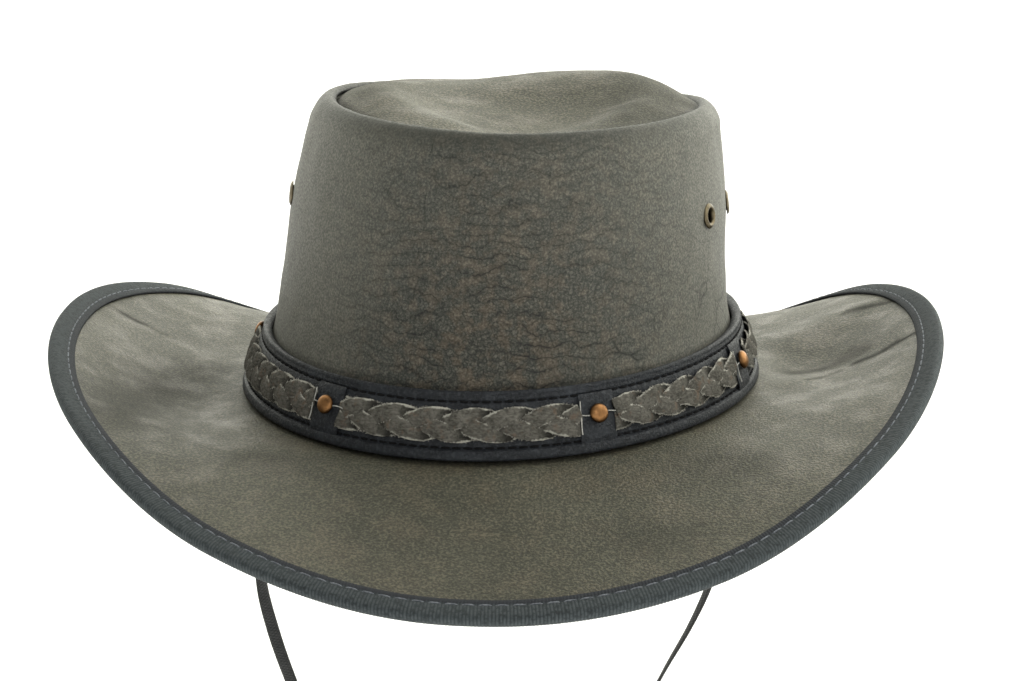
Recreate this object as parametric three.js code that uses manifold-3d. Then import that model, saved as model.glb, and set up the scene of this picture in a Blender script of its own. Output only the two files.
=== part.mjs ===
// Bush hat of dark leather with a braided hatband, in millimetres.
// X runs to the right of someone who faces the hat, the front of the hat faces -Y and Z is up.
// The origin is the middle of the head opening, level with the seam of crown and brim.
// Angles go round the hat in degrees from the front, 90 is the +X side and 180 the back.
import * as THREE from 'three';
import Module from 'manifold-3d';

const aroundSteps = 60;
const gap = 0.3;
const leather = 2;

// Head opening, how much higher its seam is on the +X side, and how far it dips front and back
const headWide = 170;
const headLong = 204;
const seamTilt = 1.4;
const seamDip = 2.8;

// Crown
const crownHeight = 102;
const crownTaper = 14.2;
const rimFold = 9.3;
const crownLean = 6.2;
const tipSwell = 10;

// Brim, measured over its bound edge
const brimWide = 314.6;
const brimLong = 362;
const brimSquare = 2.16;
const brimShift = 0.8;
const brimRise = 22;
const brimFold = 1.2;
const tapeWide = 7.8;
const tapeThick = 1;

// Hatband with its braids, keepers and rivets
const bandSlant = 7.8;
const bandHigh = 21.8;
const bandThick = 2.5;
const beadThick = 1.6;
const braidWide = 11.8;
const braidThick = 3.4;
const keeperWide = 13.6;
const keeperHigh = 16.6;
const keeperThick = 2.1;
const rivetRadius = 3.3;
const rivetHigh = 2;

// Eyelets
const holeRadius = 2.4;
const barrelRadius = 2.9;
const flangeRadius = 5;

// Chin strap, a flat lace, and the hidden tabs that hold its ends
const laceWide = 4.6;
const laceThick = 1.4;
const laceSteps = 56;
const tabThick = 2.4;
const tabLong = 12;
const tabHigh = 10;
const tabLow = 2;

// Rows of the crown wall from the seam up: share of the height, of the taper and of the folded rim
const crownRows = [
  { up: 0.0, taper: 0.0, fold: 0.0 },
  { up: 0.07, taper: 0.12, fold: 0.0 },
  { up: 0.2, taper: 0.4, fold: 0.0 },
  { up: 0.4, taper: 0.6, fold: 0.0 },
  { up: 0.64, taper: 0.73, fold: 0.0 },
  { up: 0.89, taper: 1.0, fold: 0.0 },
  { up: 0.945, taper: 1.0, fold: 0.12 },
  { up: 0.985, taper: 1.0, fold: 0.42 },
  { up: 1.0, taper: 1.0, fold: 0.74 },
  { up: 0.985, taper: 1.0, fold: 1.0 },
];

// Height of the crown's rim round the hat, as a share of the crown's height
const rimRows = [
  { at: 0, up: 1.008 },
  { at: 45, up: 1.004 },
  { at: 90, up: 0.982 },
  { at: 135, up: 0.925 },
  { at: 180, up: 0.9 },
  { at: 225, up: 0.955 },
  { at: 270, up: 1.014 },
  { at: 315, up: 1.02 },
];

// Swellings and dents of the crown's tip: place and spread as shares of its half sizes
const tipRows = [
  { x: 0.24, y: 0.34, wide: 0.62, long: 0.42, up: 0.95 },
  { x: -0.75, y: 0.2, wide: 0.34, long: 0.6, up: 0.5 },
  { x: 0.82, y: 0.3, wide: 0.3, long: 0.45, up: 0.35 },
  { x: 0.12, y: -0.6, wide: 0.42, long: 0.34, up: -0.5 },
];

// Height of the brim's edge round the hat, as a share of the rise
const edgeRows = [
  { at: 0, up: -1.468 },
  { at: 30, up: -1.077 },
  { at: 60, up: 0.064 },
  { at: 90, up: 0.927 },
  { at: 120, up: 0.605 },
  { at: 150, up: -0.909 },
  { at: 180, up: -1.909 },
  { at: 210, up: -1.064 },
  { at: 240, up: 0.468 },
  { at: 270, up: 1.009 },
  { at: 300, up: 0.391 },
  { at: 330, up: -0.773 },
];

// Rows of the brim from the opening out: share of the width, and of the edge's height at
// the sides and at the front and back
const brimRows = [
  { out: 0.0, side: 0.0, front: 0.0 },
  { out: 0.11, side: 0.0, front: 0.03 },
  { out: 0.28, side: -0.03, front: 0.22 },
  { out: 0.48, side: 0.09, front: 0.45 },
  { out: 0.67, side: 0.36, front: 0.66 },
  { out: 0.84, side: 0.69, front: 0.83 },
  { out: 1.0, side: 1.0, front: 1.0 },
];

// Soft folds that run out over the brim: place and spread in degrees, height as a share of brimFold
const foldRows = [
  { at: 57, spread: 9, up: -0.9 },
  { at: 73, spread: 8, up: 0.8 },
  { at: 284, spread: 9, up: -1.0 },
  { at: 262, spread: 9, up: 0.7 },
];

// Where the keepers with their rivets sit round the hatband
const keeperRows = [{ at: -36.2 }, { at: 25.7 }, { at: 73 }, { at: 133 }, { at: 199 }, { at: 262 }];

// Where the eyelets sit round the crown, and how high as a share of its height
const eyeletRows = [
  { name: 'eyelet_right_front', at: 68, up: 0.652 },
  { name: 'eyelet_right_rear', at: 93, up: 0.622 },
  { name: 'eyelet_left_front', at: -81, up: 0.676 },
  { name: 'eyelet_left_rear', at: -107, up: 0.67 },
];

// Route of the chin strap from its left end to its right end
const strapRoute = [
  [-80.2, 0, 1.7],
  [-82, 0, -22],
  [-86, 0, -48],
  [-88.6, 0, -68],
  [-88, 0, -81],
  [-84.4, 0, -97],
  [-79.4, 0, -113],
  [-68, 0, -143],
  [-54, 0, -178],
  [-39, 0, -212],
  [-24, 0, -239],
  [-8, 0, -250],
  [8, 0, -238],
  [20, 0, -208],
  [32, 0, -174],
  [45, 0, -140],
  [59.4, 0, -110],
  [68.5, 0, -93],
  [75, 0, -78],
  [79.5, 0, -62],
  [81.5, 0, -38],
  [81, 0, -16],
  [80.2, 0, 1.7],
];

const wasm = await Module();
wasm.setup();

const crownWideHalf = headWide / 2 + leather;
const crownLongHalf = headLong / 2 + leather;
const radians = (degrees) => (degrees * Math.PI) / 180;

// Smooth value of a column of an evenly spaced table that goes all the way round
function roundValue(rows, key, angle) {
  const step = 360 / rows.length;
  const place = (((angle % 360) + 360) % 360) / step;
  const first = Math.floor(place) % rows.length;
  const t = place - Math.floor(place);
  const value = (offset) => rows[(first + offset + rows.length) % rows.length][key];
  const [a, b, c, d] = [value(-1), value(0), value(1), value(2)];
  const curve = 2 * a - 5 * b + 4 * c - d + (3 * b - a - 3 * c + d) * t;
  return b + (t * (c - a + t * curve)) / 2;
}

// Value of a column of a table read along another column
function rowValue(rows, along, key, place) {
  let index = 0;
  while (index < rows.length - 2 && rows[index + 1][along] < place) {
    index += 1;
  }
  const low = rows[index];
  const high = rows[index + 1];
  const t = (place - low[along]) / (high[along] - low[along]);
  return low[key] + (high[key] - low[key]) * t;
}

// Line of [out, up] points moved to its left by a distance
function offsetLine(line, distance) {
  return line.map((point, index) => {
    const before = line[Math.max(index - 1, 0)];
    const after = line[Math.min(index + 1, line.length - 1)];
    const onward = [after[0] - point[0], after[1] - point[1]];
    const first = index > 0 ? [point[0] - before[0], point[1] - before[1]] : onward;
    const last = index < line.length - 1 ? onward : first;
    const one = Math.hypot(...first);
    const two = Math.hypot(...last);
    const normal = [-first[1] / one - last[1] / two, first[0] / one + last[0] / two];
    const scale = (2 * distance) / (normal[0] ** 2 + normal[1] ** 2);
    return [point[0] + normal[0] * scale, point[1] + normal[1] * scale];
  });
}

function closedMesh(points, faces) {
  let volume = 0;
  for (const [a, b, c] of faces) {
    volume += points[a].dot(new THREE.Vector3().crossVectors(points[b], points[c]));
  }
  const geometry = new THREE.BufferGeometry().setFromPoints(points);
  geometry.setIndex(faces.flatMap(([a, b, c]) => (volume > 0 ? [a, b, c] : [a, c, b])));
  geometry.computeVertexNormals();
  return geometry;
}

// Skin over a row of sections: a ring when it closes on itself, a capped bar when it doesn't
function skin(sections, closes) {
  const count = sections[0].length;
  const faces = [];
  const spans = closes ? sections.length : sections.length - 1;
  for (let i = 0; i < spans; i += 1) {
    const here = i * count;
    const next = ((i + 1) % sections.length) * count;
    for (let j = 0; j < count; j += 1) {
      const k = (j + 1) % count;
      faces.push([here + j, next + j, next + k], [here + j, next + k, here + k]);
    }
  }
  if (!closes) {
    const end = (sections.length - 1) * count;
    for (let j = 1; j < count - 1; j += 1) {
      faces.push([0, j, j + 1], [end, end + j + 1, end + j]);
    }
  }
  return closedMesh(sections.flat(), faces);
}

// Ring whose section at each angle is a closed loop of points
function ring(sectionAt) {
  const sections = [];
  for (let i = 0; i < aroundSteps; i += 1) {
    sections.push(sectionAt((360 * i) / aroundSteps));
  }
  return skin(sections, true);
}

function seamHeight(angle) {
  return seamTilt * Math.sin(radians(angle)) - seamDip * Math.cos(radians(angle)) ** 2;
}

function rimHeight(angle) {
  return crownHeight * roundValue(rimRows, 'up', angle);
}

function crownInset(row) {
  return row.taper * crownTaper + row.fold * rimFold;
}

function leanAt(height) {
  return crownLean * Math.max(height / crownHeight, 0) ** 1.6;
}

// Point round the crown at a distance outside the seam's outline and at a height
function crownPoint(angle, out, height) {
  const x = leanAt(height) + (crownWideHalf + out) * Math.sin(radians(angle));
  const y = -(crownLongHalf + out) * Math.cos(radians(angle));
  return new THREE.Vector3(x, y, height);
}

// Outside line of the crown wall at an angle, as [out, up] points
function crownLine(angle) {
  const foot = seamHeight(angle) + gap;
  return crownRows.map((row) => [-crownInset(row), foot + row.up * (rimHeight(angle) - foot)]);
}

function buildCrownSide() {
  return ring((angle) => {
    const outside = crownLine(angle);
    const inside = offsetLine(outside, leather);
    inside[0] = [outside[0][0] - leather, outside[0][1]];
    const loop = [...outside, ...inside.reverse()];
    return loop.map(([out, up]) => crownPoint(angle, out, up));
  });
}

// Frame of an eyelet on the outside of the crown wall: its middle, and a turn of +Z to the normal
function eyeletFrame(row) {
  const angle = row.at;
  const height = row.up * crownHeight;
  const place = (turn, up) => {
    const line = crownLine(turn);
    const rows = line.slice(0, 6).map(([out, level]) => ({ out, level }));
    return crownPoint(turn, rowValue(rows, 'level', 'out', up), up);
  };
  const along = place(angle + 1, height).sub(place(angle - 1, height));
  const upward = place(angle, height + 2).sub(place(angle, height - 2));
  const normal = along.cross(upward).normalize();
  const turn = new THREE.Quaternion().setFromUnitVectors(new THREE.Vector3(0, 0, 1), normal);
  return { middle: place(angle, height), turn };
}

function asSolid(geometry) {
  const numbers = geometry.getAttribute('position').array;
  return new wasm.Manifold(
    new wasm.Mesh({
      numProp: 3,
      vertProperties: Float32Array.from(numbers),
      triVerts: Uint32Array.from(geometry.getIndex().array),
    }),
  );
}

function asGeometry(solid) {
  const mesh = solid.getMesh();
  const geometry = new THREE.BufferGeometry();
  geometry.setAttribute('position', new THREE.BufferAttribute(mesh.vertProperties, 3));
  geometry.setIndex(new THREE.BufferAttribute(mesh.triVerts, 1));
  geometry.computeVertexNormals();
  return geometry;
}

// Lathe about +Z from [radius, height] points that start and end on the axis or close on themselves
function turned(profile, steps) {
  const onAxis = profile[0][0] === 0;
  const sections = [];
  for (let i = 0; i < steps; i += 1) {
    const turn = (2 * Math.PI * i) / steps;
    sections.push(profile.map(([r, h]) => new THREE.Vector3(r * Math.cos(turn), r * Math.sin(turn), h)));
  }
  if (!onAxis) {
    return skin(sections, true);
  }
  const last = profile.length - 1;
  const points = [new THREE.Vector3(0, 0, profile[0][1])];
  sections.forEach((section) => points.push(...section.slice(1, last)));
  points.push(new THREE.Vector3(0, 0, profile[last][1]));
  const inner = last - 1;
  const faces = [];
  for (let i = 0; i < steps; i += 1) {
    const here = 1 + i * inner;
    const next = 1 + ((i + 1) % steps) * inner;
    faces.push([0, next, here]);
    for (let j = 0; j < inner - 1; j += 1) {
      faces.push([here + j, next + j, next + j + 1], [here + j, next + j + 1, here + j + 1]);
    }
    faces.push([here + inner - 1, next + inner - 1, points.length - 1]);
  }
  return closedMesh(points, faces);
}

function placed(geometry, frame, height) {
  const moved = geometry.clone();
  moved.translate(0, 0, height);
  moved.applyQuaternion(frame.turn);
  moved.translate(frame.middle.x, frame.middle.y, frame.middle.z);
  return moved;
}

function buildPiercedCrown() {
  let crown = asSolid(buildCrownSide());
  const reach = barrelRadius + gap;
  const drill = turned([[0, -6], [reach, -6], [reach, 6], [0, 6]], 12);
  for (const row of eyeletRows) {
    crown = crown.subtract(asSolid(placed(drill, eyeletFrame(row), 0)));
  }
  return asGeometry(crown);
}

function buildEyelet(row) {
  const back = -leather - gap - 0.2;
  const profile = [
    [holeRadius, back - 0.6],
    [holeRadius, gap + 0.6],
    [holeRadius + 0.8, gap + 0.95],
    [flangeRadius - 0.6, gap + 0.6],
    [flangeRadius, gap + 0.05],
    [barrelRadius, gap + 0.05],
    [barrelRadius, back],
    [flangeRadius - 0.5, back],
    [flangeRadius - 0.5, back - 0.6],
  ];
  return placed(turned(profile, 12), eyeletFrame(row), 0);
}

// Soft panel inside the folded rim, swollen and dented by the tip's table
function tipHeight(angle, share) {
  const line = crownLine(angle);
  const seam = line[line.length - 1][1];
  const middle = 0.965 * crownHeight;
  const x = share * Math.sin(radians(angle));
  const y = -share * Math.cos(radians(angle));
  let swell = 0;
  for (const row of tipRows) {
    swell += row.up * Math.exp(-(((x - row.x) / row.wide) ** 2) - ((y - row.y) / row.long) ** 2);
  }
  return share ** 2 * seam + (1 - share ** 2) * middle + tipSwell * swell * (1 - share ** 6);
}

function buildCrownTip() {
  const lip = crownRows[crownRows.length - 1];
  const out = -crownInset(lip) - gap;
  const wide = crownWideHalf + out;
  const long = crownLongHalf + out;
  const shares = [0, 0.22, 0.42, 0.6, 0.76, 0.9, 1];
  const top = (angle, share) => {
    const lean = share * leanAt(tipHeight(angle, 1)) + (1 - share) * crownLean;
    const x = lean + wide * share * Math.sin(radians(angle));
    return new THREE.Vector3(x, -long * share * Math.cos(radians(angle)), tipHeight(angle, share));
  };
  const points = [top(0, 0), top(0, 0).setZ(tipHeight(0, 0) - leather)];
  const rings = shares.length - 1;
  for (let i = 0; i < aroundSteps; i += 1) {
    const angle = (360 * i) / aroundSteps;
    shares.slice(1).forEach((share) => points.push(top(angle, share)));
    shares.slice(1).forEach((share) => {
      const under = top(angle, share);
      points.push(under.setZ(under.z - leather));
    });
  }
  const faces = [];
  for (let i = 0; i < aroundSteps; i += 1) {
    const here = 2 + i * rings * 2;
    const next = 2 + ((i + 1) % aroundSteps) * rings * 2;
    faces.push([0, here, next], [1, next + rings, here + rings]);
    for (let j = 0; j < rings - 1; j += 1) {
      faces.push([here + j, here + j + 1, next + j + 1], [here + j, next + j + 1, next + j]);
      const low = j + rings;
      faces.push([here + low, next + low + 1, here + low + 1], [here + low, next + low, next + low + 1]);
    }
    const edge = rings - 1;
    const under = 2 * rings - 1;
    faces.push([here + edge, here + under, next + under], [here + edge, next + under, next + edge]);
  }
  return closedMesh(points, faces);
}

function powerWave(value, power) {
  return Math.sign(value) * Math.abs(value) ** power;
}

// Line from the head opening to the brim's leather edge, seen from above
function brimLine(angle) {
  const edge = gap + tapeThick;
  const sine = Math.sin(radians(angle));
  const cosine = Math.cos(radians(angle));
  const from = [(headWide / 2) * sine, (-headLong / 2) * cosine];
  const to = [
    (brimWide / 2 - edge) * powerWave(sine, 2 / brimSquare) - brimShift,
    -(brimLong / 2 - edge) * powerWave(cosine, 2 / brimSquare),
  ];
  const length = Math.hypot(to[0] - from[0], to[1] - from[1]);
  return { from, length, step: [(to[0] - from[0]) / length, (to[1] - from[1]) / length] };
}

// Top of the brim at an angle, as [distance from the opening, height] points, the last but one
// of them where the binding ends
function brimTop(angle) {
  const { length } = brimLine(angle);
  const side = Math.sin(radians(angle)) ** 2;
  const rise = brimRise * roundValue(edgeRows, 'up', angle) - seamHeight(angle);
  const line = brimRows.map((row) => {
    let fold = 0;
    for (const crease of foldRows) {
      fold += brimFold * crease.up * Math.exp(-(((angle - crease.at) / crease.spread) ** 2));
    }
    const share = side * row.side + (1 - side) * row.front;
    const wave = row.out > 0.2 ? Math.sin(Math.PI * Math.min(row.out / 0.9, 1)) : 0;
    return [length * row.out, seamHeight(angle) + share * rise + fold * wave];
  });
  const end = line.pop();
  const before = line[line.length - 1];
  const t = (tapeWide + gap) / Math.hypot(end[0] - before[0], end[1] - before[1]);
  const bound = [end[0] + (before[0] - end[0]) * t, end[1] + (before[1] - end[1]) * t];
  return [...line, bound, end];
}

function brimPoint(angle, [out, up]) {
  const { from, step } = brimLine(angle);
  return new THREE.Vector3(from[0] + step[0] * out, from[1] + step[1] * out, up);
}

function buildBrim() {
  return ring((angle) => {
    const top = brimTop(angle);
    const under = offsetLine(top, -leather);
    return [...top, ...under.reverse()].map((point) => brimPoint(angle, point));
  });
}

// Tape folded over the brim's edge: a U whose points lie along and across the last stretch of leather
function buildBinding() {
  const high = gap + tapeThick;
  const low = -leather - gap;
  const loop = [
    [-tapeWide, gap],
    [gap, gap],
    [gap, low],
    [-tapeWide, low],
    [-tapeWide, low - tapeThick],
    [gap, low - tapeThick],
    [high, low],
    [high, gap],
    [gap, high],
    [-tapeWide, high],
  ];
  return ring((angle) => {
    const top = brimTop(angle);
    const end = top[top.length - 1];
    const before = top[top.length - 2];
    const length = Math.hypot(end[0] - before[0], end[1] - before[1]);
    const along = [(end[0] - before[0]) / length, (end[1] - before[1]) / length];
    return loop.map(([a, b]) => {
      const out = end[0] + along[0] * a - along[1] * b;
      return brimPoint(angle, [out, end[1] + along[1] * a + along[0] * b]);
    });
  });
}

// The hatband's face leans in: its foot and head as [out, up] from the seam's outline
const bandFoot = [2.2 + bandThick, 1.2];
const bandHead = [2.2 + bandThick - bandSlant, 1.2 + bandHigh];
const bandLength = Math.hypot(bandSlant, bandHigh);
const bandAlong = [-bandSlant / bandLength, bandHigh / bandLength];
const bandNormal = [bandHigh / bandLength, bandSlant / bandLength];

// Point at a place along the band's face and a distance off it
function bandPoint(angle, along, off) {
  const out = bandFoot[0] + bandAlong[0] * along + bandNormal[0] * off;
  const up = bandFoot[1] + bandAlong[1] * along + bandNormal[1] * off + seamHeight(angle);
  return crownPoint(angle, out, up);
}

function buildHatband() {
  const top = bandLength;
  const loop = [
    [0.3, -bandThick],
    [top - 0.4, -bandThick],
    [top, -bandThick * 0.4],
    [top - 0.2, beadThick * 0.5],
    [top - 1.5, beadThick * 0.7],
    [top - 2.8, 0],
    [3.6, 0],
    [2.6, beadThick],
    [1.0, beadThick],
    [0, beadThick * 0.3],
  ];
  return ring((angle) => loop.map(([along, off]) => bandPoint(angle, along, off)));
}

// Angle that lies a distance round the hatband from another angle
function bandAngle(angle, distance) {
  const steps = 40;
  let here = angle;
  for (let i = 0; i < steps; i += 1) {
    const wide = (crownWideHalf + 2) * Math.cos(radians(here));
    const long = (crownLongHalf + 2) * Math.sin(radians(here));
    here += ((distance / steps) * 180) / Math.PI / Math.hypot(wide, long);
  }
  return here;
}

const bandMiddle = bandLength / 2 + 0.2;

function buildBraid(index) {
  const half = keeperWide / 2 + gap;
  const last = keeperRows.length - 1;
  const next = index < last ? keeperRows[index + 1].at : keeperRows[0].at + 360;
  const from = bandAngle(keeperRows[index].at, half);
  const to = bandAngle(next, -half);
  const wide = braidWide / 2;
  const loop = [
    [-wide, gap],
    [wide, gap],
    [wide, braidThick * 0.42],
    [wide * 0.7, braidThick * 0.9],
    [0, braidThick],
    [-wide * 0.7, braidThick * 0.9],
    [-wide, braidThick * 0.42],
  ];
  const sections = [];
  const steps = 10;
  for (let i = 0; i <= steps; i += 1) {
    const angle = from + ((to - from) * i) / steps;
    sections.push(loop.map(([along, off]) => bandPoint(angle, bandMiddle + along, off)));
  }
  return skin(sections, false);
}

function buildKeeper(row) {
  const high = keeperHigh / 2;
  const loop = [
    [-high, gap],
    [high, gap],
    [high, keeperThick * 0.5],
    [high - 1.2, keeperThick],
    [1.2 - high, keeperThick],
    [-high, keeperThick * 0.5],
  ];
  const sections = [-0.5, -0.2, 0.2, 0.5].map((share) => {
    const angle = bandAngle(row.at, share * keeperWide);
    return loop.map(([along, off]) => bandPoint(angle, bandMiddle + along, off + 0.2));
  });
  return skin(sections, false);
}

function buildRivet(row) {
  const profile = [
    [0, 0],
    [rivetRadius * 0.94, 0],
    [rivetRadius, rivetHigh * 0.2],
    [rivetRadius * 0.8, rivetHigh * 0.68],
    [rivetRadius * 0.42, rivetHigh * 0.93],
    [0, rivetHigh],
  ];
  const along = bandPoint(row.at + 1, bandMiddle, 0).sub(bandPoint(row.at - 1, bandMiddle, 0));
  const upward = bandPoint(row.at, bandMiddle + 2, 0).sub(bandPoint(row.at, bandMiddle - 2, 0));
  const normal = along.cross(upward).normalize();
  const turn = new THREE.Quaternion().setFromUnitVectors(new THREE.Vector3(0, 0, 1), normal);
  const middle = bandPoint(row.at, bandMiddle + 0.8, 0);
  return placed(turned(profile, 12), { middle, turn }, keeperThick + 0.2 + gap);
}

// Plain block against the inside of the crown wall, just above the seam
function buildTab(side) {
  const top = tabLow + tabHigh;
  const line = crownLine(side * 90).map(([out, level]) => ({ out, level }));
  const wall = crownWideHalf + rowValue(line, 'level', 'out', top) - leather - 2 * gap;
  const geometry = new THREE.BoxGeometry(tabThick, tabLong, tabHigh);
  geometry.translate(side * (wall - tabThick / 2) + leanAt(top), 0, tabLow + tabHigh / 2);
  return geometry;
}

function buildStrap() {
  const shape = new THREE.Shape();
  const sides = 8;
  for (let i = 0; i < sides; i += 1) {
    const turn = (2 * Math.PI * (i + 0.5)) / sides;
    const across = Math.cos(Math.PI / sides);
    const point = [(Math.cos(turn) * laceThick) / 2 / across, (Math.sin(turn) * laceWide) / 2 / across];
    if (i === 0) {
      shape.moveTo(...point);
    } else {
      shape.lineTo(...point);
    }
  }
  shape.closePath();
  const path = new THREE.CatmullRomCurve3(strapRoute.map((point) => new THREE.Vector3(...point)));
  return new THREE.ExtrudeGeometry(shape, { steps: laceSteps, extrudePath: path, bevelEnabled: false });
}

const group = new THREE.Group();
group.name = 'bush_hat';

function add(name, geometry, color, roughness, metalness = 0) {
  const mesh = new THREE.Mesh(geometry, new THREE.MeshStandardMaterial({ color, roughness, metalness }));
  mesh.name = name;
  group.add(mesh);
}

add('crown_side', buildPiercedCrown(), 0x4b4640, 0.62);
add('crown_tip', buildCrownTip(), 0x5a574c, 0.66);
add('brim', buildBrim(), 0x57544a, 0.66);
add('brim_binding', buildBinding(), 0x454c52, 0.85);
add('hatband', buildHatband(), 0x1d1e1f, 0.42);
keeperRows.forEach((row, index) => {
  add(`keeper_${index + 1}`, buildKeeper(row), 0x222324, 0.45);
  add(`rivet_${index + 1}`, buildRivet(row), 0xb0733c, 0.34, 1);
  add(`braid_${index + 1}`, buildBraid(index), 0x5d5852, 0.9);
});
eyeletRows.forEach((row) => add(row.name, buildEyelet(row), 0x6b6048, 0.45, 1));
add('strap_tab_left', buildTab(-1), 0x3a3632, 0.7);
add('strap_tab_right', buildTab(1), 0x3a3632, 0.7);
add('chin_strap', buildStrap(), 0x202123, 0.8);

export default group;
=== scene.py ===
import math
from types import SimpleNamespace as table

import bmesh
import bpy
import numpy as np
from mathutils import Matrix, Vector, noise


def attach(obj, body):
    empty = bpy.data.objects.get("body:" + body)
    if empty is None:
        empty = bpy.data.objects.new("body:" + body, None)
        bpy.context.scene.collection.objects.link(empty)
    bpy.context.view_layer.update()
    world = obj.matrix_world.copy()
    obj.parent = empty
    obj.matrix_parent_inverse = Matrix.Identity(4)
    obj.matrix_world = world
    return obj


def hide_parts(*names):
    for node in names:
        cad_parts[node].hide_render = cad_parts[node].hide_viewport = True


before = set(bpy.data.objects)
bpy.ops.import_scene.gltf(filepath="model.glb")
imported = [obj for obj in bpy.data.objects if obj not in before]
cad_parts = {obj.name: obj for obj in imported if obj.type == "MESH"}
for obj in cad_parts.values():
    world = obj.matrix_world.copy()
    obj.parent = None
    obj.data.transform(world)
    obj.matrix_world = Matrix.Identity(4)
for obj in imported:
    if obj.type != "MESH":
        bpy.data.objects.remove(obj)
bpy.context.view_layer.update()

# Lengths in the tables are millimetres, and place() turns them into metres.
# Angles go round the hat in degrees from the front (-Y), 90 is the +X side.
mm = 0.001
fullTurn = 2 * math.pi
hat = table(
    headWide=170, headLong=204, seamTilt=1.4, seamDip=2.8, leather=2, gap=0.3,
    crownHeight=102, crownTaper=14.2, rimFold=9.3, crownLean=6.2,
)
wideHalf = hat.headWide / 2 + hat.leather
longHalf = hat.headLong / 2 + hat.leather


def sine(angle):
    return np.sin(np.radians(angle))


def cosine(angle):
    return np.cos(np.radians(angle))


def unit(value):  # held between 0 and 1
    return np.clip(value, 0, 1)


def hump(value, wide):  # 1 at nought, falling away over a width
    return np.exp(-(value / wide) ** 2)


def columns(*parts):
    return np.stack(parts, axis=-1)


def running(steps):  # the sum up to each step, from nought
    return np.concatenate([[0], np.cumsum(steps)])


def tableCurve(places, values):  # smooth line through a column of a table
    x, y = np.array(places, float), np.array(values, float)
    step = np.diff(x)
    slope = np.diff(y) / step
    lean = np.empty_like(y)
    lean[1:-1] = (slope[:-1] * step[1:] + slope[1:] * step[:-1]) / (step[1:] + step[:-1])
    lean[0], lean[-1] = slope[0], slope[-1]

    def at(place):
        row = np.clip(np.searchsorted(x, place, side="right") - 1, 0, len(step) - 1)
        t = (place - x[row]) / step[row]
        rise = y[row] * (1 + 2 * t) * (1 - t) ** 2 + y[row + 1] * t * t * (3 - 2 * t)
        return rise + step[row] * (lean[row] * t * (1 - t) ** 2 - lean[row + 1] * t * t * (1 - t))

    return at


def roundCurve(values):  # the same for a column that goes all the way round in even steps
    y = np.array(values, float)
    count = len(y)

    def at(angle):
        place = np.mod(angle, 360) / (360 / count)
        first = np.floor(place).astype(int) % count
        t = place - np.floor(place)
        a, b, c, d = (y[(first + k) % count] for k in (-1, 0, 1, 2))
        return b + t * (c - a + t * (2 * a - 5 * b + 4 * c - d + (3 * b - a - 3 * c + d) * t)) / 2

    return at


def ripple(points, scale, seed=0.0):  # smooth noise from -1 to 1 at points in mm
    off = Vector((seed * 17.3, seed * 5.1, seed * 9.7))
    return np.array([noise.noise(Vector(p) / scale + off) for p in points])


def seamHeight(angle):
    return hat.seamTilt * sine(angle) - hat.seamDip * cosine(angle) ** 2


def leanAt(height):
    return hat.crownLean * np.maximum(height / hat.crownHeight, 0) ** 1.6


def crownPoint(angle, out, height):  # out is measured from the seam's outline
    x = leanAt(height) + (wideHalf + out) * sine(angle)
    return columns(x, -(longHalf + out) * cosine(angle), height + 0 * x)


# nodes and objects

def nodeIn(tree, kind, inputs=None, **settings):
    node = tree.nodes.new(kind)
    for key, value in settings.items():
        setattr(node, key, value)
    for key, value in (inputs or {}).items():
        if isinstance(value, bpy.types.NodeSocket):
            tree.links.new(value, node.inputs[key])
        else:
            node.inputs[key].default_value = value
    return node


def mathNode(tree, operation, a, b=0.0):
    return nodeIn(tree, "ShaderNodeMath", {0: a, 1: b}, operation=operation).outputs[0]


def times(tree, a, b):
    return mathNode(tree, "MULTIPLY", a, b)


def rangeNode(tree, value, low, high, to=0.0, end=1.0, **settings):
    levels = {"Value": value, "From Min": low, "From Max": high, "To Min": to, "To Max": end}
    return nodeIn(tree, "ShaderNodeMapRange", levels, **settings).outputs[0]


def noiseNode(tree, vector, scale, detail, rough=0.5):
    inputs = {"Vector": vector, "Scale": scale, "Detail": detail, "Roughness": rough}
    return nodeIn(tree, "ShaderNodeTexNoise", inputs).outputs


def added(name, data):  # a new object in the scene
    item = bpy.data.objects.new(name, data)
    bpy.context.collection.objects.link(item)
    return item


# camera and light

shot = table(
    away=1.2392, target=(0.00357, 0, 0.01317), up=13.579, turn=3.92, roll=-0.181,
    lens=121.92, sensor=36, farthest=50,
)
# the room is bright behind the hat and to its right, and dim in front
studio = table(front=0.3, back=3.3, low=-0.4, high=1.1, bright=(0.45, 1, -0.1), colour=(1.0, 1.0, 0.9, 1))


def makeCamera():
    up, turn = math.radians(shot.up), math.radians(shot.turn)
    back = Vector((math.cos(up) * math.sin(turn), -math.cos(up) * math.cos(turn), math.sin(up)))
    camera = added("camera", bpy.data.cameras.new("camera"))
    camera.data.lens = shot.lens
    camera.data.sensor_width = shot.sensor
    camera.data.clip_end = shot.farthest
    roll = Matrix.Rotation(math.radians(shot.roll), 4, "Z")
    spin = back.to_track_quat("Z", "Y").to_matrix().to_4x4() @ roll
    camera.matrix_world = Matrix.Translation(Vector(shot.target) + back * shot.away) @ spin
    bpy.context.scene.camera = camera


def makeRoom():
    world = bpy.data.worlds.new("studio")
    world.use_nodes = True
    tree = world.node_tree
    way = nodeIn(tree, "ShaderNodeTexCoord").outputs["Generated"]
    towards = nodeIn(tree, "ShaderNodeVectorMath", {0: way, 1: studio.bright}, operation="DOT_PRODUCT")
    level = rangeNode(tree, towards.outputs["Value"], studio.low, studio.high, studio.front, studio.back)
    background = tree.nodes["Background"].inputs
    background["Color"].default_value = studio.colour
    tree.links.new(level, background["Strength"])
    bpy.context.scene.world = world


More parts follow.
